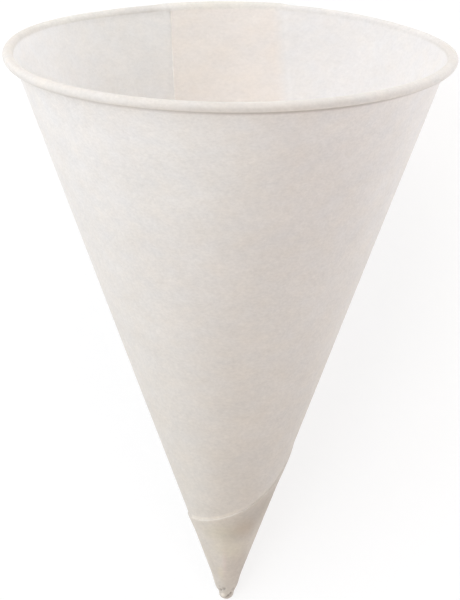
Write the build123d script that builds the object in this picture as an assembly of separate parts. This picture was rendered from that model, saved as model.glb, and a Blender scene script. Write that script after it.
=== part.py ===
from build123d import *
from math import acos, asin, atan2, cos, degrees, hypot, pi, radians, sin, sqrt
import os

# A cone paper cup: one sheet of paper wound into a cone, with its rim rolled outward.
# The sheet starts at its inner cut edge, goes once round, climbs over that edge and
# ends at its outer cut edge, so the wall is double between the two edges and all
# round the tip. Lengths are in millimetres and angles in degrees. The cup is drawn
# with the point of the cone at the origin and its mouth up, and is then laid on its
# seam, as it comes to rest on a table.

# Overall size
rim_diameter = 84.0
cup_height = 105.5

# Paper and rolled rim: the roll stands in from the wall by its inset, and its end
# stays clear of the doubled wall
paper = 0.22
roll_diameter = 2.0
roll_inset = 0.15
roll_clearance = 0.10

# Where the paper is doubled the roll is thicker, and its middle lies further up the
# slope and further out. The cup rests on that side, where the roll is pressed flat.
roll_growth = 0.36
roll_up = 0.06
roll_out = 0.24
pressed = 0.50

# Blunt tip
tip_radius = 1.45

# Seam: the two straight cuts of the flat sheet. Each is given by the wall's radius where
# it passes nearest to the point of the cone, and by where it reaches the rim, round
# from the front.
outer_cut_radius = 6.9
outer_cut_at_rim = 165.4
inner_cut_radius = 1.7
inner_cut_at_rim = 196.4

# Width over which the sheet climbs one layer over its inner edge, and how far up the
# slope that edge starts to show inside
climb = 1.5
inner_edge_start = 8.0

# The cutting shapes follow the climb between these numbers of layers, counted out from
# the inside wall: past both sides of the paper outside, and into the cup inside
climb_foot = 0.5
climb_crest = 2.5
groove_mouth = -1.0

# The cutting shapes reach past the paper by a length, or by a short one where they meet,
# and round the seam they go from a small to a large share of the wall's radius. Each is
# drawn through this many sections. Those of the groove lie closer together towards the tip,
# where its edge turns fastest, by this power.
reach = 5.0
short_reach = 0.5
inner_share = 0.25
outer_share = 3.0
sections_each = 12
crowding = 1.5

# Narrow flats that make up the round side of the roll
roll_flats = 14


def half_angle():
    """Half angle of the cone, in radians, from the rim, the height and the tip."""
    roll = roll_diameter / 2
    across = rim_diameter / 2 - roll
    along = cup_height - roll - tip_radius
    offset = roll - roll_inset + tip_radius - 2 * paper
    return acos(offset / hypot(across, along)) - atan2(along, across)


cone = half_angle()
outer_cut = outer_cut_radius / sin(cone)
inner_cut = inner_cut_radius / sin(cone)
tip_centre = (tip_radius - 2 * paper) / sin(cone)
roll_height = tip_centre - tip_radius + cup_height - roll_diameter / 2
rim_slant = roll_height * cos(cone) + (rim_diameter - roll_diameter) / 2 * sin(cone)


def outer_edge(slant):
    """Angle of the outer cut edge at a distance up the slope."""
    return outer_cut_at_rim + cut_turn(outer_cut, rim_slant) - cut_turn(outer_cut, slant)


def inner_edge(slant):
    """Angle of the inner cut edge at a distance up the slope."""
    return inner_cut_at_rim - cut_turn(inner_cut, rim_slant) + cut_turn(inner_cut, slant)


def cut_turn(nearest, slant):
    """How far a straight cut has wound round the cone at a distance up the slope."""
    return degrees(asin(min(1, nearest / slant))) / sin(cone)


def roll_place(doubled):
    """Radius, distance up the slope and level of the roll; doubled is 1 or 0."""
    radius = (roll_diameter + doubled * roll_growth) / 2
    slant = rim_slant + doubled * roll_up
    level = roll_diameter / 2 - roll_inset + doubled * roll_out
    return radius, slant, level


def climbing(slant, layers, side):
    """Radius and angle on the climbing sheet, so many layers out; side is 0 inside, 1 outside."""
    radius = slant * sin(cone) + layers * paper / cos(cone)
    return radius, inner_edge(slant) + degrees((1 + side - layers) * climb / radius)


def across_slope(slant, level):
    """Radius and height of a point up the slope and a level out from the inside wall."""
    radius = slant * sin(cone) + level * cos(cone)
    height = slant * cos(cone) - level * sin(cone)
    return radius, height


def around(radius, angle, height):
    """Point at a radius and a height, an angle round from the front."""
    turn = radians(angle)
    return (radius * sin(turn), -radius * cos(turn), height)


def wall_point(slant, level):
    """Wall point of the section that is turned into the cup."""
    radius, height = across_slope(slant, level)
    return (radius, 0, height)


def roll_side(centre_slant, centre_level, radius, start, end):
    """Round side of the roll, between two angles counted from straight up the slope."""
    points = []
    for step in range(roll_flats + 1):
        angle = radians(start + (end - start) * step / roll_flats)
        slant = centre_slant + radius * cos(angle)
        level = centre_level + radius * sin(angle)
        points.append(wall_point(slant, level))
    return Polyline(*points)


def tip_arc(radius):
    """Arc of the rounded tip, from the axis to the wall."""
    points = []
    for turn in (0, (pi / 2 - cone) / 2, pi / 2 - cone):
        points.append((radius * sin(turn), 0, tip_centre - radius * cos(turn)))
    return ThreePointArc(*points)


def turned_sheet(inner, outer, doubled):
    """Sheet between two levels with its tip and rolled rim, turned all the way round."""
    tip_inside = tip_radius - 2 * paper + inner
    tip_outside = tip_radius - 2 * paper + outer

    roll_outside, roll_slant, roll_level = roll_place(doubled)
    roll_inside = roll_outside - outer
    inner_drop = sqrt(roll_outside**2 - (roll_level - inner) ** 2)
    outer_drop = sqrt(roll_inside**2 - (roll_level - outer) ** 2)
    start = degrees(atan2(inner - roll_level, -inner_drop))
    back = degrees(atan2(outer - roll_level, -outer_drop))
    end_depth = roll_level - 2 * paper - (1 + doubled) * roll_clearance
    end = 180 + degrees(asin(end_depth / roll_outside))

    inner_tip = tip_arc(tip_inside)
    outer_tip = tip_arc(tip_outside)
    outer_roll = roll_side(roll_slant, roll_level, roll_outside, start, end)
    inner_roll = roll_side(roll_slant, roll_level, roll_inside, end, back)
    outline = inner_tip + Line(inner_tip @ 1, outer_roll @ 0) + outer_roll
    outline += Line(outer_roll @ 1, inner_roll @ 0) + inner_roll
    outline += Line(inner_roll @ 1, outer_tip @ 1) + outer_tip
    outline += Line(outer_tip @ 0, inner_tip @ 0)
    return revolve(make_face(outline), Axis.Z)


def above_outer_edge():
    """Space above the outer cut edge, from its lowest point round to the rim."""
    top = rim_slant + 2 * reach
    lowest = outer_edge(outer_cut)
    last = acos(outer_cut / (rim_slant + reach))
    sections = []
    for step in range(sections_each + 1):
        turn = last * step / sections_each
        angle = lowest + degrees(turn) / sin(cone)
        edge = outer_cut / cos(turn)
        corners = [(edge, -reach), (top, -reach), (top, reach), (edge, reach)]
        points = []
        for slant, level in corners:
            radius, height = across_slope(slant, level)
            points.append(around(radius, angle, height))
        sections.append(make_face(Polyline(*points, close=True)))
    return loft(sections)


def past_inner_edge():
    """Space from the climb over the inner cut edge round to the lowest point of the outer one."""
    far_side = outer_edge(outer_cut) + 360
    low = outer_cut - short_reach
    high = rim_slant + 2 * reach
    sections = []
    for step in range(sections_each + 1):
        slant = low + (high - low) * step / sections_each
        height = slant * cos(cone)
        wall = slant * sin(cone)
        foot, foot_edge = climbing(slant, climb_foot, 1)
        crest, crest_edge = climbing(slant, climb_crest, 1)
        points = [
            around(inner_share * wall, foot_edge, height),
            around(foot, foot_edge, height),
            around(crest, crest_edge, height),
            around(outer_share * wall, crest_edge, height),
            around(outer_share * wall, far_side, height),
            around(inner_share * wall, far_side, height),
        ]
        sections.append(make_face(Polyline(*points, close=True)))
    return loft(sections)


def ring_above(slant):
    """Ring across the wall, from a distance up the slope to above the rim."""
    top = rim_slant + 2 * reach
    corners = [(slant, -reach), (top, -reach), (top, reach), (slant, reach)]
    points = [wall_point(*corner) for corner in corners]
    return revolve(make_face(Polyline(*points, close=True)), Axis.Z)


def inner_groove():
    """Groove beside the inner cut edge, where the sheet has not yet climbed over it."""
    high = rim_slant - roll_diameter / 2
    sections = []
    for step in range(sections_each + 1):
        share = (step / sections_each) ** crowding
        slant = inner_edge_start + (high - inner_edge_start) * share
        height = slant * cos(cone)
        bottom, edge = climbing(slant, 1, 0)
        inside, far_edge = climbing(slant, groove_mouth, 0)
        points = [
            around(inside, edge, height),
            around(bottom, edge, height),
            around(inside, far_edge, height),
        ]
        sections.append(make_face(Polyline(*points, close=True)))
    return loft(sections)


def outer_layer():
    """Second layer of the sheet: the seam's overlap and the whole tip."""
    layer = turned_sheet(paper / 2, 2 * paper, 1)
    layer -= above_outer_edge()
    layer -= past_inner_edge() & ring_above(outer_cut)
    return layer


def laid_down(cup):
    """The cup on its seam, on the tip and the pressed rim, with its mouth towards -Y."""
    roll, slant, level = roll_place(1)
    radius, height = across_slope(slant, level)
    along = height - tip_centre
    rise = atan2(radius, along) + asin((roll - pressed - tip_radius) / hypot(radius, along))
    cup = cup.translate((0, 0, -tip_centre))
    cup = cup.rotate(Axis.Z, 180).rotate(Axis.X, 90 - degrees(rise))
    cup = cup.translate((0, 0, tip_radius))
    cup -= Box(rim_diameter, 2 * cup_height, reach, align=(Align.CENTER, Align.MAX, Align.MAX))
    centre = cup.bounding_box().center()
    return cup.translate((-centre.X, -centre.Y, 0))


def main():
    cup = turned_sheet(0, paper, 0)
    cup += outer_layer()
    cup -= inner_groove()
    os.makedirs("parts", exist_ok=True)
    export_step(laid_down(cup), "parts/cone_cup.step")


main()
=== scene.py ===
import math

import bpy
import numpy as np
from mathutils import Matrix, Vector
from mathutils.geometry import delaunay_2d_cdt


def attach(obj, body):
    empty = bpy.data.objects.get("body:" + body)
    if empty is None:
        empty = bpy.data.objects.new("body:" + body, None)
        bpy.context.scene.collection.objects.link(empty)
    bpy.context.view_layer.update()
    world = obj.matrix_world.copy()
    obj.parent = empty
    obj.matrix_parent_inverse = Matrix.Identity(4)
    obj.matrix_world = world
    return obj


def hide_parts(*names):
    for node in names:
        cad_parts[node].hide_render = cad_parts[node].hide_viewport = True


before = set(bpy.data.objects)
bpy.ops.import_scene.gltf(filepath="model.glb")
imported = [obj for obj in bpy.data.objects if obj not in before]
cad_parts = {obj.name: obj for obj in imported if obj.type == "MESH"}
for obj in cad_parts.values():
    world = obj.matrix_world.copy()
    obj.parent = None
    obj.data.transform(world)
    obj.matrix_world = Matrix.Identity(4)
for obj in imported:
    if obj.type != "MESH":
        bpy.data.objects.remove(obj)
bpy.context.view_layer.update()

# A cone paper cup, made as one closed sheet: its outside, its inside and the rolled rim
# between them. Places on the sheet are given by path, the distance up the slope from the
# point of the cone, by turn, the angle round from the front, and by level, the distance
# out from the inside wall. The front is the side that lies uppermost. The cup is drawn
# upright, and to_frame lays it down as it lies in the frame. Lengths are in millimetres and
# angles in degrees, unless a comment says otherwise.

# The cup's driving sizes, as in the part's source
RIM_DIAMETER = 84.0
CUP_HEIGHT = 105.5
PAPER = 0.22
ROLL_DIAMETER = 2.0
ROLL_INSET = 0.15
ROLL_GROWTH = 0.36
ROLL_UP = 0.06
ROLL_OUT = 0.24
PRESSED = 0.50
TIP_RADIUS = 1.45
OUTER_CUT_RADIUS = 6.9
OUTER_CUT_AT_RIM = 165.4
INNER_CUT_RADIUS = 1.7
INNER_CUT_AT_RIM = 196.4
CLIMB = 1.5
INNER_EDGE_START = 8.0

# The step of the inner cut edge grows from nothing to its full height over this distance
GROOVE_FADE = 6.0

# Where the middle of the rounded tip lies along Y in the frame. The number comes from the
# part's source, which centres the cup on its box.
TIP_Y = 55.34340671013765

# Width of a cut edge seen from above, and distance to the next row of points beside it
EDGE = 0.16
STRIP = 0.40

# The outside of the wall ends inside the roll, this far below the roll's middle
WALL_END = 0.60

# Distance above the outer cut edge of the row of points where its painted highlight ends
EDGE_HIGHLIGHT_TOP = 0.85

# Rings of points on the wall under the rolled rim, by their distance below the roll's middle
CREASE_RINGS = (2.75, 2.35, 2.05, 1.75, 1.40, 1.00)

# The roll stands in from the wall by its full inset only at one turn of the rim, less to
# each side as far as the spread, and by the least one elsewhere
INSET_TURN = 205.0
INSET_SPREAD = 52.0
LEAST_INSET = 0.03

# The roll gets thick round the outer cut edge over this distance, and past the inner one
# it gets thin again over a longer distance
ROLL_RISE = 2.4
ROLL_FALL = 3.6

# How many rings of points the roll has, on its inner and on its outer side
INNER_RINGS = 18
OUTER_RINGS = 34

# To press the roll flat, all that is lower than this above the surface is squeezed on the
# mouth's half of the cup. That takes in the low strip of the wall as well as the roll, and
# leaves a step of about 0.27 mm across the underside at Y = 0.
PRESSED_UP_TO = 2.0

# The gap under the end of the roll: its least width, and where round the rim, how far
# to each side and by how much it is wider
LIP_GAP = 0.10
WIDE_LIP_TURN = 35.0
WIDE_LIP_SPREAD = 62.0
WIDE_LIP_GROWTH = 0.26

# The rim isn't quite flat: where each rise is, how far it spreads to each side, and its height
RIM_RISES = ((122.0, 44.0, -0.60), (256.0, 44.0, 0.46))

# A rise of the rim fades down the slope by this power of the path
RISE_POWER = 5

# Gentle waves of the wall: how many go round, and their depth. Up the slope each one swings
# to the side, by so many radians at most, and comes and goes, by one radian for each of
# these lengths. Its phases are drawn with the seed.
WALL_WAVES = ((2, 0.050), (3, 0.035), (5, 0.020), (7, 0.012), (11, 0.006))
WAVE_SEED = 7
WAVE_SWING = 1.2
SWING_LENGTH = 29.0
WAVE_LENGTH = 23.0

# Where the waves start, down from the rim and up from the point of the cone, and the
# distance over which they grow to their full depth
RIM_FADE = (2.0, 12.0)
TIP_FADE = (8.0, 20.0)

# Ridge where the tip was pressed together: turn at its low and high end, the paths of
# those ends, its half width and its height
RIDGE_TURNS = (-7.2, -3.6)
RIDGE_PATHS = (4.6, 18.0)
RIDGE_HALF_WIDTH = 1.8
RIDGE_HEIGHT = 0.20

# The tip is pressed a little thinner below the outer cut edge: by how much, over what
# distance below the edge, where it starts above the nose and over how much, and how far
# round from the edge's lowest point it stops following the edge, and over how much
SLIMMER = 0.20
SLIMMER_BELOW = 3.5
SLIMMER_ABOVE = (4.5, 3.0)
SLIMMER_ROUND = (150.0, 50.0)

# The dents shrink the nose towards its middle, by this share of the distance at most, and
# a distance below the least one counts as that one
MOST_SHRINK = 0.6
LEAST_DISTANCE = 0.3

# Dents of the crumpled nose, with painted shade in them: path, turn, radius, depth and shade. A
# bump has a negative depth, and a pale spot, a painted highlight, a negative shade.
NOSE_DENTS = (
    (4.35, -12.0, 0.46, 0.34, 0.38),
    (4.05, -33.0, 0.42, 0.32, 0.36),
    (4.75, -36.0, 0.34, 0.20, 0.20),
    (2.85, -27.0, 0.66, -0.04, -0.42),
    (2.70, 21.0, 0.36, 0.30, 0.46),
    (3.15, 37.0, 0.38, 0.34, 0.40),
    (2.35, 8.0, 0.28, 0.22, 0.32),
    (4.10, 44.0, 0.55, 0.10, 0.18),
    (3.30, -95.0, 0.95, 0.20, 0.0),
    (3.60, 92.0, 1.10, 0.16, 0.06),
    (4.40, 135.0, 0.70, 0.30, 0.20),
    (4.90, 205.0, 0.60, 0.30, 0.20),
    (3.60, 285.0, 0.60, 0.30, 0.20),
)

# Colour of one layer of paper at the rim, outside and inside. It is multiplied by these tints:
# outside, evenly more on the way down to the tip, as painted shade where less light reaches and
# shines through the wall, and where the sheet lies double.
PAPER_COLOUR = (0.862, 0.831, 0.797)
INSIDE_COLOUR = (0.905, 0.877, 0.850)
TIP_PAINTED_SHADE = (0.80, 0.775, 0.73)
TIP_PAINTED_SHADE_LENGTH = 95.0
# Where the sheet lies double, less light shines through it: painted shade outside, and a warmer
# painted tone of that light inside
DOUBLED_OUTSIDE_PAINTED_SHADE = (0.99, 0.975, 0.955)
DOUBLED_INSIDE_PAINTED_LIGHT = (1.025, 0.985, 0.950)

# A painted highlight runs along the outer cut edge as a bright line: its tint, how far above the
# edge its middle lies, its half width, and how far round from the edge's lowest point it starts to
# fade, over how much and by what share
EDGE_PAINTED_HIGHLIGHT = (1.18, 1.17, 1.15)
EDGE_HIGHLIGHT_ABOVE = 0.35
EDGE_HIGHLIGHT_WIDTH = 0.55
EDGE_HIGHLIGHT_FADE = (45.0, 70.0, 0.8)

# Patches a little lighter or darker than around: path, turn, half length along the slope, half
# width round it, and tint. The one inside is painted shade below the far rim.
INSIDE_PAINTED_SHADES = (
    (117.0, 206.0, 30.0, 29.0, (0.925, 0.92, 0.90)),
)
OUTSIDE_SHADES = (
    (98.0, 31.0, 34.0, 22.0, (0.955, 0.945, 0.94)),
    (102.0, -9.0, 30.0, 20.0, (1.02, 1.03, 1.03)),
)

# Dark streak below the outer cut edge: how far below it lies, its half width, where it is
# darkest, counted round from the edge's lowest point, its spread to each side, and tint
EDGE_SHADE = (3.4, 5.2, 112.0, 78.0, (0.80, 0.79, 0.78))

# Marks and streaks below the outer cut edge end softly above it over this distance
MARK_END = 0.5

# The outer cut edge shows through inside as a paler line, painted light that shines through the
# sheet: by how much and its half width.
# The doubled tint fades in from there over some distance.
SHOW_THROUGH = 0.02
SHOW_THROUGH_WIDTH = 0.5
SHOW_THROUGH_FADE = 2.8

# The rolled rim is a little darker than the wall, apart from a pale stretch between two
# turns, whose ends are soft over so many degrees
BEAD_TINT = (0.92, 0.905, 0.88)
BEAD_PALE = (95.0, 198.0)
BEAD_PALE_SOFT = (30.0, 4.0)

# Other tints of the rolled rim: turn, spread to each side, tint
BEAD_SHADES = (
    (182.0, 24.0, (1.0, 0.985, 0.935)),
    (227.0, 24.0, (1.055, 1.07, 1.065)),
)

# The crease under the rolled rim is darker too, with painted shade, most at one turn of the rim,
# less to each side as far as the spread, and by a share of it elsewhere. The painted shade grows up
# the slope between two distances below the roll's middle, and round the roll between two angles.
CREASE_PAINTED_SHADE = (0.64, 0.61, 0.585)
CREASE_TURN = 24.0
CREASE_SPREAD = 95.0
CREASE_ELSEWHERE = 0.30
CREASE_BELOW_RIM = (1.75, 2.35)
CREASE_ANGLES = (112.0, 140.0)

# Marks near the tip: path, turn, half length along the slope, half width round it, tint. The pale
# streak along the pressed ridge and the pale patch beside it are painted highlights, and the two
# dark marks at turns 42 and 74 are painted shade.
TIP_MARKS_AND_PAINTED_LIGHT = (
    (18.0, 30.0, 2.8, 3.0, (0.98, 0.935, 0.885)),
    (17.2, -10.0, 2.8, 5.0, (0.975, 0.98, 0.925)),
    (13.6, 10.0, 3.2, 5.0, (1.06, 1.065, 1.01)),
    (9.4, 42.0, 5.5, 3.4, (0.92, 0.91, 0.91)),
    (7.4, 74.0, 5.5, 1.6, (0.90, 0.90, 0.91)),
    (10.5, -6.0, 5.5, 0.55, (1.05, 1.01, 1.03)),
    (7.0, -62.0, 11.0, 3.4, (0.92, 0.91, 0.90)),
    (8.0, -20.0, 2.4, 1.0, (1.02, 1.01, 0.96)),
)

ROLL_RADIUS = ROLL_DIAMETER / 2
MM_PER_M = 1000.0


def half_angle():
    """Half angle of the cone, in radians, from the rim, the height and the tip."""
    across = RIM_DIAMETER / 2 - ROLL_RADIUS
    along = CUP_HEIGHT - ROLL_RADIUS - TIP_RADIUS
    offset = ROLL_RADIUS - ROLL_INSET + TIP_RADIUS - 2 * PAPER
    return math.acos(offset / math.hypot(across, along)) - math.atan2(along, across)


CONE = half_angle()
SIN, COS = math.sin(CONE), math.cos(CONE)
OUTER_CUT = OUTER_CUT_RADIUS / SIN
INNER_CUT = INNER_CUT_RADIUS / SIN
TIP_CENTRE = (TIP_RADIUS - 2 * PAPER) / SIN
ROLL_HEIGHT = TIP_CENTRE - TIP_RADIUS + CUP_HEIGHT - ROLL_RADIUS
RIM_PATH = ROLL_HEIGHT * COS + (RIM_DIAMETER - ROLL_DIAMETER) / 2 * SIN

# Degrees of turn for each millimetre round the rim
RIM_PER_MM = math.degrees(1 / (RIM_PATH * SIN))

# The rounded tip goes on below the wall: path counts on along its arc, down to the pole
TIP_PATH = TIP_CENTRE * COS
POLE = TIP_PATH - (math.pi / 2 - CONE) * TIP_RADIUS

# The dents of the nose reach no further up than this
NOSE_TOP = TIP_PATH + 3 * TIP_RADIUS

# The outside of the wall ends inside the roll, and the inside where the roll begins
OUTSIDE_TOP = RIM_PATH - WALL_END
INSIDE_TOP = RIM_PATH - math.sqrt(ROLL_RADIUS ** 2 - (ROLL_RADIUS - ROLL_INSET) ** 2)


def rise_of_axis():
    """How far the cup's axis rises from the surface that it lies on, in radians."""
    thick_roll = (ROLL_DIAMETER + ROLL_GROWTH) / 2
    path = RIM_PATH + ROLL_UP
    level = ROLL_RADIUS - ROLL_INSET + ROLL_OUT
    radius = path * SIN + level * COS
    height = path * COS - level * SIN - TIP_CENTRE
    drop = math.asin((thick_roll - PRESSED - TIP_RADIUS) / math.hypot(radius, height))
    return math.atan2(radius, height) + drop


TILT = math.pi / 2 - rise_of_axis()


def smooth(x):
    """A soft step: 0 up to nought, 1 from one on."""
    x = np.clip(x, 0.0, 1.0)
    return x * x * (3 - 2 * x)


def hump(x):
    """1 at nought, falling smoothly to nought at 1 and -1."""
    return (1 - np.clip(np.abs(x), 0, 1) ** 2) ** 2


def past(turn, reference):
    """Degrees from a reference round to a turn, from 0 up to 360."""
    return np.mod(turn - reference, 360.0)


def beside(turn, reference):
    """Degrees from a reference to a turn the shorter way, from -180 up to 180."""
    return np.mod(turn - reference + 180.0, 360.0) - 180.0


def distance_beside(path, turn, reference):
    """Distance round the wall from a reference to a turn the shorter way, with its sign."""
    return np.radians(beside(turn, reference)) * path * SIN


# The two cut edges of the flat sheet

def cut_turn(nearest, path):
    """Degrees that a straight cut has wound round the cone at a distance up the slope."""
    return np.degrees(np.arcsin(np.minimum(1.0, nearest / path))) / SIN


def outer_edge(path):
    """Turn of the outer cut edge at a distance up the slope."""
    return OUTER_CUT_AT_RIM + cut_turn(OUTER_CUT, RIM_PATH) - cut_turn(OUTER_CUT, path)


def inner_edge(path):
    """Turn of the inner cut edge at a distance up the slope."""
    return INNER_CUT_AT_RIM - cut_turn(INNER_CUT, RIM_PATH) + cut_turn(INNER_CUT, path)


# Turn of the outer cut edge at its lowest point
LOWEST = float(outer_edge(OUTER_CUT))

# From there the edge is followed as far as this angle of the flat sheet, in radians, and
# what lies beyond counts as this far from it
LAST_SWING = 1.45
FAR = 99.0


def lapped(path, turn):
    """True between the two cut edges, where the sheet lies double."""
    start = outer_edge(path)
    return (past(turn, start) <= past(inner_edge(path), start)) | (path <= OUTER_CUT)


def cover(path, turn):
    """1 where the sheet lies double, 0 where it is single, with the climb between them."""
    beyond = past(turn, inner_edge(path))
    ramp = 1 - smooth(beyond / np.degrees(CLIMB / (path * SIN)))
    return np.where(lapped(path, turn), 1.0, ramp)


def outside_level(path, turn):
    """Level of the outside, over one layer of paper or two."""
    return PAPER + PAPER * cover(path, turn)


def groove(path, turn):
    """Depth of the groove beside the inner cut edge, on its far side."""
    wide = np.degrees(CLIMB / (path * SIN))
    beyond = past(turn, inner_edge(path))
    fade = smooth((path - INNER_EDGE_START) / GROOVE_FADE)
    return np.where(beyond < wide, PAPER * fade * (1 - smooth(beyond / wide)), 0.0)


def outer_cut_distance(path, turn):
    """Distance up from the outer cut edge, past its lowest point; large elsewhere."""
    swing = np.radians(past(turn, LOWEST)) * SIN
    return np.where(swing < LAST_SWING, path * np.cos(swing) - OUTER_CUT, FAR)


def inner_cut_distance(path, turn):
    """Distance round from the inner cut edge, positive past it."""
    return distance_beside(path, turn, inner_edge(path))


# Places on the sheet

def section(path, level):
    """Radius and height of a point on the wall or on the rounded tip."""
    wall_radius = path * SIN + level * COS
    wall_height = path * COS - level * SIN
    turn = math.pi / 2 - CONE - (TIP_PATH - path) / TIP_RADIUS
    size = TIP_RADIUS - 2 * PAPER + level
    tip_radius = size * np.sin(turn)
    tip_height = TIP_CENTRE - size * np.cos(turn)
    low = path < TIP_PATH
    return np.where(low, tip_radius, wall_radius), np.where(low, tip_height, wall_height)


def flat_radius(path):
    """Radius in a flat picture of the cup that keeps every angle true."""
    turn = math.pi / 2 - CONE - (TIP_PATH - np.minimum(path, TIP_PATH)) / TIP_RADIUS
    tip = np.tan(turn / 2) / math.tan((math.pi / 2 - CONE) / 2)
    wall = (np.maximum(path, TIP_PATH) / TIP_PATH) ** (1 / SIN)
    return np.where(path < TIP_PATH, tip, wall)


def wall_waves(path, turn):
    """Gentle waves of the wall, out from the axis, that fade at the rim and at the tip."""
    random = np.random.default_rng(WAVE_SEED)
    total = np.zeros_like(turn)
    for count, depth in WALL_WAVES:
        first, second, third = random.uniform(0, 2 * math.pi, 3)
        swing = np.sin(path / SWING_LENGTH + first)
        wave = np.sin(np.radians(turn) * count + second + WAVE_SWING * swing)
        total += depth * wave * np.cos(path / WAVE_LENGTH + third)
    (rim_start, rim_length), (tip_start, tip_length) = RIM_FADE, TIP_FADE
    fade = smooth((RIM_PATH - path - rim_start) / rim_length)
    return total * fade * smooth((path - tip_start) / tip_length)


def tip_ridge(path, turn):
    """Sharp ridge where the tip was pressed together, out from the axis."""
    (low, high), (start, end) = RIDGE_PATHS, RIDGE_TURNS
    middle = start + (end - start) * (path - low) / (high - low)
    width = np.abs(distance_beside(path, turn, middle)) / RIDGE_HALF_WIDTH
    run = (2 * path - low - high) / (high - low)
    return RIDGE_HEIGHT * (1 - np.clip(width, 0, 1)) ** 2 * hump(run)


def tip_slimmer(path, turn):
    """How much thinner the tip is pressed, in from the wall."""
    start, length = SLIMMER_ABOVE
    stop, fade = SLIMMER_ROUND
    below = smooth(-outer_cut_distance(path, turn) / SLIMMER_BELOW)
    below = below * (1 - smooth((past(turn, LOWEST) - stop) / fade))
    low = smooth((OUTER_CUT - path) / SLIMMER_BELOW)
    return SLIMMER * np.maximum(below, low) * smooth((path - start) / length)


def nose_dents(path, turn):
    """Depth of the crumpled nose's dents, and the painted shade of the spots in them."""
    radius, height = section(path, PAPER)
    depth, painted_shade = np.zeros_like(path), np.zeros_like(path)
    for dent_path, dent_turn, size, amount, dark in NOSE_DENTS:
        dent_radius, dent_height = section(np.array(dent_path), PAPER)
        angle = np.radians(beside(turn, dent_turn))
        gap = np.sqrt(
            radius ** 2 + dent_radius ** 2 - 2 * radius * dent_radius * np.cos(angle)
            + (height - dent_height) ** 2
        )
        depth += amount * hump(gap / size)
        painted_shade += dark * hump(gap / size)
    return depth, painted_shade


def rim_rise(turn):
    """How far the rim rises above a flat ring at a turn."""
    return sum(rise * hump(beside(turn, middle) / spread) for middle, spread, rise in RIM_RISES)


def formed(path, turn, level):
    """Radius and height of a point of the real sheet, with its small faults of shape."""
    radius, height = section(path, level)
    radius = radius + wall_waves(path, turn) + tip_ridge(path, turn) - tip_slimmer(path, turn)
    dent, _ = nose_dents(path, turn)
    reach = np.hypot(radius, height - TIP_CENTRE)
    shrink = 1 - np.minimum(dent / np.maximum(reach, LEAST_DISTANCE), MOST_SHRINK)
    low = path < NOSE_TOP
    height = np.where(low, TIP_CENTRE + (height - TIP_CENTRE) * shrink, height)
    radius = np.where(low, radius * shrink, radius)
    return radius, height + rim_rise(turn) * np.clip(path / RIM_PATH, 0, 1) ** RISE_POWER


def to_frame(radius, turn, height):
    """Points of the upright cup, in millimetres, as points of the lying cup."""
    angle = np.radians(turn)
    x, y, z = -radius * np.sin(angle), radius * np.cos(angle), height - TIP_CENTRE
    y, z = y * math.cos(TILT) - z * math.sin(TILT), y * math.sin(TILT) + z * math.cos(TILT)
    return np.stack([x, y + TIP_Y, z + TIP_RADIUS], -1)


def pressed_flat(points):
    """Presses the rolled rim flat where it lies on the surface, and the low wall with it."""
    z = points[:, 2]
    share = np.clip((PRESSED_UP_TO - z) / (PRESSED_UP_TO + PRESSED), 0, 1)
    low = (points[:, 1] < 0) & (z < PRESSED_UP_TO)
    points[:, 2] = np.where(low, PRESSED_UP_TO * (1 - share), z)
    return points


# Colour of the sheet

def inside_colour(path, turn):
    """Colour of the inside at each point, apart from its fine grain."""
    colour = np.tile(INSIDE_COLOUR, (len(path), 1))
    from_cut = np.radians(past(turn, outer_edge(path))) * path * SIN
    # painted warmer tone where the sheet lies double and lets less light through
    tinted(colour, DOUBLED_INSIDE_PAINTED_LIGHT, lapped(path, turn) * smooth(from_cut / SHOW_THROUGH_FADE))
    # painted shade on the inside below the far rim
    for mark in INSIDE_PAINTED_SHADES:
        tinted(colour, mark[-1], mark_share(path, turn, mark))
    # painted light where the outer cut edge shows through
    line = hump(outer_cut_distance(path, turn) / SHOW_THROUGH_WIDTH) * (path > OUTER_CUT)
    return colour * (1 + SHOW_THROUGH * line)[:, None]


def outside_colour(path, turn):
    """Colour of the outside at each point, apart from its fine grain."""
    colour = np.tile(PAPER_COLOUR, (len(path), 1))
    cut = outer_cut_distance(path, turn)
    # painted shade where the sheet lies double and lets less light through
    tinted(colour, DOUBLED_OUTSIDE_PAINTED_SHADE, cover(path, turn))
    # painted shade, evenly more on the way down to the tip
    tinted(colour, TIP_PAINTED_SHADE, np.clip((RIM_PATH - path) / TIP_PAINTED_SHADE_LENGTH, 0, 1))
    for mark in OUTSIDE_SHADES:
        tinted(colour, mark[-1], mark_share(path, turn, mark))
    # marks near the tip, some of them painted highlight and painted shade
    for mark in TIP_MARKS_AND_PAINTED_LIGHT:
        tinted(colour, mark[-1], mark_share(path, turn, mark) * below_cut(cut))
    tinted(colour, EDGE_SHADE[-1], edge_shade_share(cut, turn))
    # painted shade in the crease under the rolled rim
    high, low = (RIM_PATH - below for below in CREASE_BELOW_RIM)
    tinted(colour, CREASE_PAINTED_SHADE, crease_shade_share(turn) * smooth((path - low) / (high - low)))
    # painted highlight along the outer cut edge
    line = hump((cut - EDGE_HIGHLIGHT_ABOVE) / EDGE_HIGHLIGHT_WIDTH)
    tinted(colour, EDGE_PAINTED_HIGHLIGHT, line * edge_highlight_share(turn))
    # painted shade in the nose's dents, and a painted highlight on its pale bump
    _, painted_shade = nose_dents(path, turn)
    return colour * (1 - painted_shade)[:, None]


def below_cut(cut):
    """1 below the outer cut edge, 0 above it, from the distance above it."""
    return smooth((MARK_END - cut) / MARK_END)


def mark_share(path, turn, mark):
    """How much of a mark's tint lies at each point."""
    mark_path, mark_turn, length, width, _ = mark
    aside = distance_beside(path, turn, mark_turn) / width
    return hump(np.hypot((path - mark_path) / length, aside))


def tinted(colour, tint, share):
    """Multiplies colours by a tint, each by its share of it."""
    colour *= 1 + (np.array(tint) - 1) * np.asarray(share)[:, None]


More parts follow.
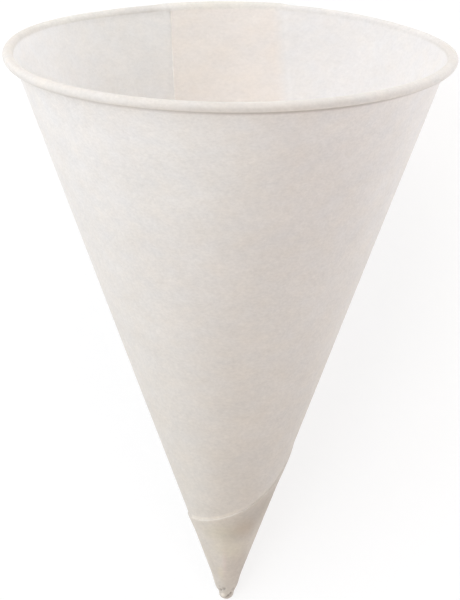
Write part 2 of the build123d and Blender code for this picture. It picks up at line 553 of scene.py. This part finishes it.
def crease_shade_share(turn):
    """How much of the crease's painted shade lies under the rolled rim at a turn."""
    near = hump(beside(turn, CREASE_TURN) / CREASE_SPREAD)
    return CREASE_ELSEWHERE + (1 - CREASE_ELSEWHERE) * near


def edge_highlight_share(turn):
    """How much of the painted highlight lies along the outer cut edge at a turn."""
    start, length, share = EDGE_HIGHLIGHT_FADE
    return 1 - share * smooth((past(turn, LOWEST) - start) / length)


def edge_shade_share(cut, turn):
    """How much of the dark streak's tint lies at a distance from the outer cut edge."""
    below, width, middle, spread, _ = EDGE_SHADE
    along = hump((past(turn, LOWEST) - middle) / spread)
    return along * hump((cut + below) / width) * below_cut(cut)


def roll_colour(angle, turn):
    """Colour of the rolled rim at an angle round it, counted from straight up the slope."""
    colour = np.tile(PAPER_COLOUR, (len(turn), 1))
    (start, end), (start_soft, end_soft) = BEAD_PALE, BEAD_PALE_SOFT
    pale = smooth((turn - start) / start_soft) * (1 - smooth((turn - end) / end_soft))
    tinted(colour, BEAD_TINT, 1 - pale)
    for middle, spread, tint in BEAD_SHADES:
        tinted(colour, tint, hump(beside(turn, middle) / spread))
    # painted shade on the roll's underside at the crease
    start, end = CREASE_ANGLES
    tinted(colour, CREASE_PAINTED_SHADE, crease_shade_share(turn) * smooth((angle - start) / (end - start)))
    return colour


# Points and triangles of the outside and of the inside

# Least and greatest distance between neighbouring points, the path where it starts to grow,
# and its growth for each millimetre of path
SPACING = (0.13, 0.88)
SPACING_START = 5.0
SPACING_GROWTH = 0.055

# How many points are spread evenly round the rim, how far they stay off the two cut edges,
# and how far from an edge the points lie that take their place there
RIM_POINTS = 332
SEAM_ROOM = 2.9
SEAM_STEPS = (STRIP, 0.7, 1.1, 1.6, 2.4)

# Lines of points along the inner cut edge, inside, by their distance past it
GROOVE_LINES = (-STRIP, 0.0, EDGE, STRIP, 0.7, 1.1, 1.6)

# Lines of points up the climb outside
CLIMB_LINES = 5

# How far below the ring at the top these lines end: those of the climb, of the groove, and
# where the outer cut edge shows through
CLIMB_END = 0.5
GROOVE_END = 0.3
SHOW_THROUGH_END = 0.8

# Distance between the points of a line
OUTER_CUT_STEP = 0.75
INNER_CUT_STEP = 0.8
BACK_STEP = 0.5
RIDGE_STEP = 0.3
SHOW_THROUGH_STEP = 0.6

# Round the back, a line above the outer cut edge has the level found this little further up
JUST_ABOVE = 0.001

# Rows of points fill the rest. They stay off the lines by a share of their spacing, and off
# the low ends of the ridge and of the groove by a distance.
ROOM = 0.4
RIDGE_ROOM = 0.1
GROOVE_ROOM = 0.4

# The first row's distance from the pole, the distance between rows and the room above the
# last one, both as shares of the spacing, and how far round each row starts after the last
FIRST_ROW = 0.12
ROW_STEP = 0.866
TOP_ROOM = 0.6
ROW_TURN = 7.0

# A row's fewest points, and the least radius that its number of points is worked out with
FEWEST_POINTS = 6
LEAST_RADIUS = 0.05

# The last point's distance from the pole itself, and how close corners of the flat picture
# may be before they are joined
POLE_GAP = 1e-4
JOINING_DISTANCE = 1e-6


def spacing(path):
    """Distance between neighbouring points, smaller towards the crumpled nose."""
    least, greatest = SPACING
    return np.clip(least + SPACING_GROWTH * (path - SPACING_START), least, greatest)


def rim_turns():
    """Turns round the rim at which every ring has a point, closer together at the seam."""
    places = (OUTER_CUT_AT_RIM, INNER_CUT_AT_RIM)
    turns = [OUTER_CUT_AT_RIM - EDGE * RIM_PER_MM, INNER_CUT_AT_RIM + EDGE * RIM_PER_MM]
    for place in places:
        turns.append(place)
        for step in SEAM_STEPS:
            turns += [place - step * RIM_PER_MM, place + step * RIM_PER_MM]
    for turn in np.arange(RIM_POINTS) * 360.0 / RIM_POINTS:
        if min(abs(beside(turn, place)) for place in places) > SEAM_ROOM * RIM_PER_MM:
            turns.append(turn)
    return np.array(sorted(turns))


RIM_TURNS = rim_turns()


def rim_column(turn):
    """Number of the rim's point at a turn."""
    return int(np.argmin(np.abs(RIM_TURNS - turn)))


class Points:
    """Points of one surface of the sheet, with the lines that its triangles have to follow.

    The first ones are the ring at the top, one point for each turn of the rim.
    """

    def __init__(self, top, level_of):
        self.path, self.turn, self.level, self.lines = [], [], [], []
        self.top, self.level_of = top, level_of
        self.add(np.full(len(RIM_TURNS), top), RIM_TURNS)

    def add(self, path, turn, level=None):
        """Adds points and returns their numbers; without a level they lie on the surface."""
        start = len(self.path)
        path = np.atleast_1d(np.asarray(path, float))
        turn = np.broadcast_to(np.asarray(turn, float), path.shape)
        if level is None:
            level = self.level_of(path, turn)
        level = np.broadcast_to(np.asarray(level, float), path.shape)
        self.path += list(path)
        self.turn += list(turn)
        self.level += list(level)
        return list(range(start, len(self.path)))

    def line(self, path, turn, level=None, rim_turn=None, first=None):
        """A line of points, from the point called first if given, up to the ring at rim_turn."""
        ids = self.add(path, turn, level)
        if first is not None:
            ids.insert(0, first)
        if rim_turn is not None:
            column = rim_column(rim_turn)
            if level is not None:
                self.level[column] = float(np.ravel(level)[-1])
            ids.append(column)
        self.lines += list(zip(ids[:-1], ids[1:]))
        return ids

    def ring(self, path, keep):
        """A ring of points at the turns of the rim, where keep allows them."""
        path = np.full(len(RIM_TURNS), path)
        kept = keep(path, RIM_TURNS)
        self.add(path[kept], RIM_TURNS[kept])

    def rows(self, keep, top=None):
        """Staggered rows of points from the pole up to a path, where keep allows them."""
        path, row = POLE + FIRST_ROW, 0
        while path < (top or self.top) - TOP_ROOM * spacing(path):
            gap = float(spacing(path))
            radius = max(float(section(np.array(path), 0.0)[0]), LEAST_RADIUS)
            count = max(FEWEST_POINTS, round(2 * math.pi * radius / gap))
            start = 180.0 / count * (row % 2) + ROW_TURN * row
            turn = (start + 360.0 * np.arange(count) / count) % 360
            kept = keep(np.full(count, path), turn)
            self.add(np.full(count, path)[kept], turn[kept])
            path += ROW_STEP * gap
            row += 1
        self.add([POLE + POLE_GAP], [0.0])

    def triangles(self):
        """Triangles over the flat picture of the cup, as index triples."""
        flat = flat_radius(np.array(self.path))
        angle = np.radians(self.turn)
        places = zip(flat * np.cos(angle), flat * np.sin(angle))
        corners = [Vector((float(x), float(y))) for x, y in places]
        made = delaunay_2d_cdt(corners, self.lines, [], 0, JOINING_DISTANCE)
        _, _, found, origins, _, _ = made
        source = [ids[0] if ids else -1 for ids in origins]
        faces = [tuple(source[i] for i in face) for face in found]
        return [f for f in faces if min(f) >= 0 and len(set(f)) == 3]


def beside_outer_cut(away, top, step=OUTER_CUT_STEP):
    """Points along the outer cut edge, a distance away from it, from its lowest point up."""
    near = OUTER_CUT + away
    end = math.sqrt(top ** 2 - near ** 2)
    run = np.linspace(0, end, int(end / step) + 1)[:-1]
    return np.hypot(near, run), LOWEST + np.degrees(np.arctan2(run, near)) / SIN


def beside_inner_cut(away, bottom, top):
    """Points along the inner cut edge, a distance past it, from one path up to another."""
    path = np.arange(bottom, top, INNER_CUT_STEP)
    return path, inner_edge(path) + np.degrees(away / (path * SIN))


def outside_points():
    """Points of the outside, with the outer cut edge, the climb and the ridge of the tip."""
    points = Points(OUTSIDE_TOP, outside_level)
    for away in (-STRIP, 0.0, EDGE, STRIP, EDGE_HIGHLIGHT_TOP):
        level = PAPER if away > 0 else 2 * PAPER
        path, turn = beside_outer_cut(away, OUTSIDE_TOP)
        rim_turn = OUTER_CUT_AT_RIM - away * RIM_PER_MM
        first = points.line(path, turn, np.full(len(path), level), rim_turn)[0]
        # round the back the layer ends at one height, as far as the climb
        stop = float(inner_edge(OUTER_CUT)) - 360.0
        count = int(math.radians(LOWEST - stop) * OUTER_CUT_RADIUS / BACK_STEP)
        turn = np.linspace(LOWEST, stop, count + 1)[1:]
        path = np.full(count, OUTER_CUT + away)
        layers = np.full(count, level) if away <= 0 else outside_level(path + JUST_ABOVE, turn)
        points.line(path, turn, layers, first=first)
    bottom = OUTER_CUT + EDGE_HIGHLIGHT_TOP + STRIP
    for share in np.linspace(0, 1, CLIMB_LINES):
        path, turn = beside_inner_cut(share * CLIMB, bottom, OUTSIDE_TOP - CLIMB_END)
        points.line(path, turn, PAPER + PAPER * (1 - smooth(share)))
    path = np.arange(RIDGE_PATHS[0], RIDGE_PATHS[1], RIDGE_STEP)
    points.line(path, np.interp(path, RIDGE_PATHS, RIDGE_TURNS))

    def keep(path, turn):
        room = ROOM * spacing(path)
        on_cut = np.zeros(path.shape, bool)
        for away in (outer_cut_distance(path, turn), path - OUTER_CUT):
            on_cut |= (away > -STRIP - room) & (away < EDGE_HIGHLIGHT_TOP + room)
        aside = inner_cut_distance(path, turn)
        climbing = (path > OUTER_CUT) & (aside > -room) & (aside < CLIMB + room)
        ridge = distance_beside(path, turn, np.interp(path, RIDGE_PATHS, RIDGE_TURNS))
        on_ridge = (path > RIDGE_PATHS[0] - RIDGE_ROOM) & (path < RIDGE_PATHS[1])
        on_ridge &= np.abs(ridge) < room
        return ~on_cut & ~climbing & ~on_ridge

    rings = RIM_PATH - np.array(CREASE_RINGS)
    for path in rings:
        points.ring(path, keep)
    points.rows(keep, rings[0])
    return points


def inside_points():
    """Points of the inside, with the groove beside the inner cut edge."""
    points = Points(INSIDE_TOP, groove)
    for away in GROOVE_LINES:
        path, turn = beside_inner_cut(away, INNER_EDGE_START, INSIDE_TOP - GROOVE_END)
        level = groove(path, turn) if away > 0 else np.zeros(len(path))
        points.line(path, turn, level, INNER_CUT_AT_RIM + away * RIM_PER_MM)
    # the outer cut edge shows through here
    for away in (-SHOW_THROUGH_WIDTH, 0.0, SHOW_THROUGH_WIDTH):
        path, turn = beside_outer_cut(away, INSIDE_TOP - SHOW_THROUGH_END, SHOW_THROUGH_STEP)
        points.line(path, turn, 0.0)

    def keep(path, turn):
        room = ROOM * spacing(path)
        aside = inner_cut_distance(path, turn)
        in_groove = (aside > GROOVE_LINES[0] - room) & (aside < GROOVE_LINES[-1] + room)
        in_groove &= path > INNER_EDGE_START - GROOVE_ROOM
        on_line = np.abs(outer_cut_distance(path, turn)) < SHOW_THROUGH_WIDTH + room
        return ~in_groove & ~on_line

    points.rows(keep)
    return points


def roll_rings():
    """Path, level and angle of the roll's rings, from the wall's outside round to its inside."""
    turns = RIM_TURNS
    start = OUTER_CUT_AT_RIM - ROLL_RISE / 2 * RIM_PER_MM
    thick = smooth((turns - start) / (ROLL_RISE * RIM_PER_MM))
    beyond = (turns - INNER_CUT_AT_RIM) / RIM_PER_MM
    thick = thick * (1 - smooth(beyond / ROLL_FALL))
    layers = outside_level(np.full(len(turns), OUTSIDE_TOP), turns)
    radius = ROLL_RADIUS + thick * ROLL_GROWTH / 2
    within = radius - layers
    path = RIM_PATH + thick * ROLL_UP
    near = hump(beside(turns, INSET_TURN) / INSET_SPREAD)
    level = ROLL_RADIUS - LEAST_INSET - (ROLL_INSET - LEAST_INSET) * near + thick * ROLL_OUT

    gap = LIP_GAP + WIDE_LIP_GROWTH * hump(beside(turns, WIDE_LIP_TURN) / WIDE_LIP_SPREAD)
    end = math.pi + np.arcsin(np.clip((level - layers - gap) / radius, -1, 1))
    first = np.arctan2(-level, -np.sqrt(np.maximum(radius ** 2 - level ** 2, 0.0)))
    drop = np.sqrt(np.maximum(within ** 2 - (level - layers) ** 2, 0.0))
    back = np.arctan2(layers - level, -drop)

    rings = []
    for share in np.linspace(0, 1, INNER_RINGS + 1)[1:]:
        angle = back + (end - back) * share
        rings.append((path + within * np.cos(angle), level + within * np.sin(angle), angle))
    middle = radius - layers / 2
    rings.append((path + middle * np.cos(end), level + middle * np.sin(end), end))
    for share in np.linspace(0, 1, OUTER_RINGS + 1)[:-1]:
        angle = end + (first - end) * share
        rings.append((path + radius * np.cos(angle), level + radius * np.sin(angle), angle))
    return rings


def new_object(name, points, faces):
    """A mesh object in the scene, from points in metres and faces."""
    mesh = bpy.data.meshes.new(name)
    mesh.from_pydata(points, [], faces)
    made = bpy.data.objects.new(name, mesh)
    bpy.context.scene.collection.objects.link(made)
    return made


# Faces that meet at more than this angle show a sharp edge
SHARP_ANGLE = 38.0


def build_cup():
    """The cup as one closed mesh, with the sheet's colour, painted light and shade included, and
    strength of texture by point.
    """
    places, colours, faces = [], [], []
    count = len(RIM_TURNS)

    def keep(radius, turn, height, colour, texture=1.0):
        start = sum(len(p) for p in places)
        places.append(to_frame(radius, turn, height))
        colours.append(np.concatenate([colour, np.full((len(colour), 1), texture)], 1))
        return start

    def surface(points, inside):
        path, turn, level = (np.array(v) for v in (points.path, points.turn, points.level))
        radius, height = formed(path, turn, level)
        colour = inside_colour(path, turn) if inside else outside_colour(path, turn)
        start = keep(radius, turn, height, colour, INSIDE_TEXTURE if inside else 1.0)
        # each side's triangles look away from the paper
        for a, b, c in points.triangles():
            corners = (a, b, c) if inside else (a, c, b)
            faces.append(tuple(start + corner for corner in corners))
        return start

    chain = [surface(outside_points(), False)]
    inside_start = surface(inside_points(), True)
    for path, level, angle in roll_rings():
        radius = path * SIN + level * COS
        height = path * COS - level * SIN + rim_rise(RIM_TURNS)
        colour = roll_colour(np.degrees(angle), RIM_TURNS)
        chain.append(keep(radius, RIM_TURNS, height, colour))
    chain.append(inside_start)
    for low, high in zip(chain[:-1], chain[1:]):
        for column in range(count):
            after = (column + 1) % count
            faces.append((low + column, low + after, high + after, high + column))

    points = pressed_flat(np.concatenate(places)) / MM_PER_M
    cup = new_object("paper_cup", points.tolist(), faces)
    mesh = cup.data
    mesh.validate()
    mesh.update()
    colour = np.concatenate(colours)
    stored = mesh.attributes.new("sheet_colour_and_painted_light", "FLOAT_COLOR", "POINT")
    stored.data.foreach_set("color", colour.astype(np.float32).ravel())
    mesh.polygons.foreach_set("use_smooth", [True] * len(mesh.polygons))
    mesh.set_sharp_from_angle(angle=math.radians(SHARP_ANGLE))
    return cup


# Materials

def empty_tree(owner):
    """The node tree of a material or world, emptied."""
    owner.use_nodes = True
    owner.node_tree.nodes.clear()
    return owner.node_tree


def add(tree, kind, inputs=None, **settings):
    """Adds a node; an input given as a socket is joined, and any other value is set."""
    made = tree.nodes.new(kind)
    for name, value in settings.items():
        setattr(made, name, value)
    for name, value in (inputs or {}).items():
        if isinstance(value, bpy.types.NodeSocket):
            tree.links.new(value, made.inputs[name])
        else:
            made.inputs[name].default_value = value
    return made


def noise(tree, place, scale, detail, roughness, kind="FBM", distortion=0.0):
    """A noise texture's value at each place."""
    inputs = {
        "Vector": place,
        "Scale": scale,
        "Detail": detail,
        "Roughness": roughness,
        "Distortion": distortion,
    }
    return add(tree, "ShaderNodeTexNoise", inputs, noise_type=kind).outputs["Fac"]


def scaled(tree, value, factor, plus):
    """value times factor plus a number or another value."""
    inputs = {0: value, 1: factor, 2: plus}
    return add(tree, "ShaderNodeMath", inputs, operation="MULTIPLY_ADD").outputs[0]


# Places times this are in millimetres, with the noises drawn out a little across the cup,
# along the paper's grain
DRAWN_OUT = (680.0, 1000.0, 1000.0)

# Noises of the paper: how many go in a millimetre, detail and roughness
CLOUDS = (0.16, 3.0, 0.55)
MOTTLE = (0.75, 3.0, 0.60)
GRAIN = (2.1, 4.0, 0.66)
FIBRES = (1.1, 5.0, 0.6)
FIBRE_DISTORTION = 1.1

# How much clouds, mottle, grain and fibres change the paper's lightness, and what they are
# added to, so that the paper's mean colour is the sheet's colour at that place
LIGHT_SHARES = (0.11, 0.12, 0.26, 0.045)
MEAN_LIGHT = 0.72

# Inside, the texture has this share of its strength outside
INSIDE_TEXTURE = 0.75

# One more noise, and the two tints between which it changes the paper's colour
WARMTH = (0.30, 2.0, 0.5)
WARM_TINT = (1.020, 1.000, 0.970, 1)
COOL_TINT = (0.980, 1.000, 1.030, 1)

# Relief of the surface: shares of the grain and of the fibres, and its depth in metres
GRAIN_RELIEF = 0.6
FIBRE_RELIEF = 0.25
RELIEF_DEPTH = 0.000012

# How matt the surface is: its least roughness, what the grain adds, and its specular level
LEAST_ROUGHNESS = 0.60
GRAIN_ROUGHNESS = 0.22
SPECULAR = 0.35


def paper_material():
    """Uncoated white paper: cloudy formation, fine grain and fibres, and a matt surface."""
    material = bpy.data.materials.new("paper")
    tree = empty_tree(material)
    place = add(tree, "ShaderNodeTexCoord").outputs["Object"]
    inputs = {0: place, 1: DRAWN_OUT}
    in_mm = add(tree, "ShaderNodeVectorMath", inputs, operation="MULTIPLY").outputs[0]

    clouds = noise(tree, in_mm, *CLOUDS)
    mottle = noise(tree, in_mm, *MOTTLE)
    grain = noise(tree, in_mm, *GRAIN)
    fibres = noise(tree, in_mm, *FIBRES, "RIDGED_MULTIFRACTAL", FIBRE_DISTORTION)
    warmth = noise(tree, in_mm, *WARMTH)

    lightness = MEAN_LIGHT
    for fine, share in zip((clouds, mottle, grain, fibres), LIGHT_SHARES):
        lightness = scaled(tree, fine, share, lightness)
    sheet = add(tree, "ShaderNodeAttribute", attribute_name="sheet_colour_and_painted_light").outputs
    texture = scaled(tree, lightness, 1.0, -1.0)
    lightness = scaled(tree, texture, sheet["Alpha"], 1.0)

    # the mix node's colours are its inputs 6 and 7 and its output 2
    inputs = {"Factor": warmth, 6: WARM_TINT, 7: COOL_TINT}
    tint = add(tree, "ShaderNodeMix", inputs, data_type="RGBA").outputs[2]
    inputs = {0: sheet["Color"], 1: tint}
    dyed = add(tree, "ShaderNodeVectorMath", inputs, operation="MULTIPLY").outputs[0]
    inputs = {0: dyed, "Scale": lightness}
    colour = add(tree, "ShaderNodeVectorMath", inputs, operation="SCALE").outputs[0]

    relief = scaled(tree, grain, GRAIN_RELIEF, scaled(tree, fibres, FIBRE_RELIEF, 0.0))
    inputs = {"Height": relief, "Strength": 1.0, "Distance": RELIEF_DEPTH}
    bump = add(tree, "ShaderNodeBump", inputs).outputs[0]
    shader = add(tree, "ShaderNodeBsdfPrincipled", {
        "Base Color": colour,
        "Roughness": scaled(tree, grain, GRAIN_ROUGHNESS, LEAST_ROUGHNESS),
        "Normal": bump,
        "Specular IOR Level": SPECULAR,
    })
    add(tree, "ShaderNodeOutputMaterial", {"Surface": shader.outputs[0]})
    return material


# Floor, light and camera

def seen_directly(tree):
    """1 for what the camera sees itself or through a mirror or glass, and otherwise 0."""
    rays = add(tree, "ShaderNodeLightPath").outputs
    inputs = {0: rays["Is Camera Ray"], 1: rays["Is Glossy Ray"]}
    mirrored = add(tree, "ShaderNodeMath", inputs).outputs[0]
    inputs = {0: mirrored, 1: rays["Is Transmission Ray"]}
    return add(tree, "ShaderNodeMath", inputs, use_clamp=True).outputs[0]


# Half the floor's width, and the two distances from its middle between which the floor that
# the camera sees fades to white, in metres
FLOOR_SIZE = 3.0
SHADOW_REACH = (0.16, 0.42)

# The floor's colour for the cup, and for the camera near the cup, where it also glows
FLOOR_COLOUR = (0.8, 0.8, 0.8, 1)
SHADED_COLOUR = (0.30, 0.30, 0.30, 1)
FLOOR_GLOW = 0.74
WHITE = (1, 1, 1, 1)


def floor():
    """A pale floor that keeps the cup's shadow and fades to white farther off."""
    corners = [(x * FLOOR_SIZE, y * FLOOR_SIZE, 0) for x, y in ((-1, -1), (1, -1), (1, 1), (-1, 1))]
    made = new_object("floor", corners, [(0, 1, 2, 3)])
    material = bpy.data.materials.new("floor")
    tree = empty_tree(material)
    place = add(tree, "ShaderNodeTexCoord").outputs["Object"]
    away = add(tree, "ShaderNodeVectorMath", {0: place}, operation="LENGTH").outputs["Value"]
    limits = {"Value": away, "From Min": SHADOW_REACH[0], "From Max": SHADOW_REACH[1]}
    far = add(tree, "ShaderNodeMapRange", limits, interpolation_type="SMOOTHSTEP").outputs[0]
    plain = add(tree, "ShaderNodeBsdfDiffuse", {"Color": FLOOR_COLOUR})
    shaded = add(tree, "ShaderNodeBsdfDiffuse", {"Color": SHADED_COLOUR})
    pale = add(tree, "ShaderNodeEmission", {"Color": WHITE, "Strength": FLOOR_GLOW})
    near = add(tree, "ShaderNodeAddShader", {0: shaded.outputs[0], 1: pale.outputs[0]})
    white = add(tree, "ShaderNodeEmission", {"Color": WHITE, "Strength": 1.0})
    seen = add(tree, "ShaderNodeMixShader", {"Fac": far, 1: near.outputs[0], 2: white.outputs[0]})
    inputs = {"Fac": seen_directly(tree), 1: plain.outputs[0], 2: seen.outputs[0]}
    both = add(tree, "ShaderNodeMixShader", inputs)
    add(tree, "ShaderNodeOutputMaterial", {"Surface": both.outputs[0]})
    made.data.materials.append(material)


# Lamps: place and size in metres, energy in watts, and colour. They all point at one place.
LAMPS = {
    "left_of_mouth": ((0.838, -0.559, 0.682), 0.8, 6.45, (0.84, 0.90, 1.00)),
    "left_of_tip": ((0.838, 0.559, 0.682), 0.8, 6.75, (1.00, 1.00, 1.00)),
    "before_mouth": ((0.0, -0.50, 0.30), 0.3, 1.17, (1.00, 0.94, 0.87)),
    "right_low": ((-0.45, -0.12, 0.12), 0.2, 0.80, (0.82, 0.90, 1.00)),
    "right_of_tip": ((-0.838, 0.559, 0.682), 0.8, 3.6, (1.00, 0.81, 0.73)),
}
LAMP_AIM = (0, 0, 0.03)

# Strength of the even light from all round
WORLD_LIGHT = 0.30


def light():
    """Soft studio lamps, and a surround that the camera sees as white."""
    world = bpy.data.worlds.new("studio")
    bpy.context.scene.world = world
    tree = empty_tree(world)
    seen = add(tree, "ShaderNodeBackground", {"Color": WHITE, "Strength": 1.0})
    soft = add(tree, "ShaderNodeBackground", {"Color": WHITE, "Strength": WORLD_LIGHT})
    inputs = {"Fac": seen_directly(tree), 1: soft.outputs[0], 2: seen.outputs[0]}
    both = add(tree, "ShaderNodeMixShader", inputs)
    add(tree, "ShaderNodeOutputWorld", {"Surface": both.outputs[0]})

    for name, (place, size, energy, colour) in LAMPS.items():
        lamp = bpy.data.lights.new(name, "AREA")
        lamp.shape = "SQUARE"
        lamp.size = size
        lamp.energy = energy
        lamp.color = colour
        made = bpy.data.objects.new(name, lamp)
        made.location = place
        aim = Vector(LAMP_AIM) - made.location
        made.rotation_euler = aim.to_track_quat("-Z", "Y").to_euler()
        made.visible_camera = False
        bpy.context.scene.collection.objects.link(made)


# The camera's fit to the photo's outline: angles in degrees, the focal length and the
# picture's middle in pixels of the 460 by 600 frame, and its distance in metres
ELEVATION = 14.696
CAMERA_ROLL = 0.448
FOCAL_PIXELS = 8058.6
MIDDLE_PIXEL = (228.39, 307.35)
PICTURE = (460, 600)
DISTANCE = 1.5

# The place on the cup's axis that it looks at, in millimetres up from the point of the cone
AIM_HEIGHT = 57.956

SENSOR_WIDTH = 36.0
CLIP_END = 50


def camera():
    """The photo's own view of the cup: its place and lens were fitted to the outline."""
    elevation, tip_over = math.radians(ELEVATION), math.radians(CAMERA_ROLL)
    lying = Matrix.Rotation(TILT, 3, "X") @ Matrix.Rotation(math.pi, 3, "Z")
    back = lying @ Vector((0, -math.cos(elevation), math.sin(elevation)))
    right = lying @ Vector((1, 0, 0))
    up = back.cross(right)
    x_axis = math.cos(tip_over) * right + math.sin(tip_over) * up
    y_axis = math.cos(tip_over) * up - math.sin(tip_over) * right

    data = bpy.data.cameras.new("camera")
    data.sensor_width = SENSOR_WIDTH
    data.lens = FOCAL_PIXELS / PICTURE[1] * SENSOR_WIDTH
    data.shift_x = (PICTURE[0] / 2 - MIDDLE_PIXEL[0]) / PICTURE[1]
    data.shift_y = (MIDDLE_PIXEL[1] - PICTURE[1] / 2) / PICTURE[1]
    data.clip_end = CLIP_END
    made = bpy.data.objects.new("camera", data)
    bpy.context.scene.collection.objects.link(made)
    target = Vector(to_frame(0.0, 0.0, AIM_HEIGHT) / MM_PER_M)
    turned = Matrix((x_axis, y_axis, back)).transposed().to_4x4()
    made.matrix_world = Matrix.Translation(target + back * DISTANCE) @ turned
    bpy.context.scene.camera = made


cup = build_cup()
cup.data.materials.append(paper_material())
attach(cup, "root")
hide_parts("cone_cup")

floor()
light()
camera()
bpy.context.scene.view_settings.view_transform = "Standard"
